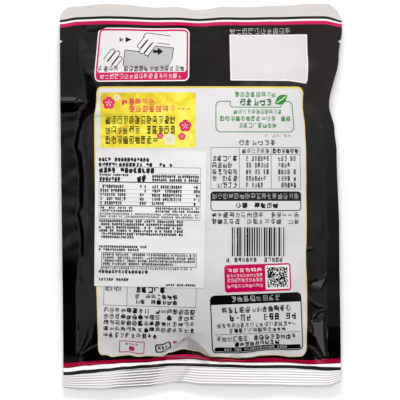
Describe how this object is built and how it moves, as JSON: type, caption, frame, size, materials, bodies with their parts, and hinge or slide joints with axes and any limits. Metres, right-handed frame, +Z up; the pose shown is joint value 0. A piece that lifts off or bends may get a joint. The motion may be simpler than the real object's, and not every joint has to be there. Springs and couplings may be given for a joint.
{
  "type": "rice cracker pouch",
  "caption": "Full, sealed film pouch of rice crackers lying on its front, with flat side and top seals, a crimped bottom seal, tear notches and a paper label on the back.",
  "frame": {"origin": "on the surface the pouch lies on, under the middle of its outline", "axes": "+X to the right across the printed back, +Y towards the smooth top seal, +Z up out of the printed back"},
  "size_m": [0.1518, 0.208, 0.0312],
  "materials": {
    "printed_film": "laminated packaging film, satin gloss, printed black with light panels, magenta and white end stripes",
    "label_paper": "coated white adhesive paper with small black print"
  },
  "bodies": {
    "root": {"pouch": "printed_film", "import_label": "label_paper"}
  },
  "joints": []
}
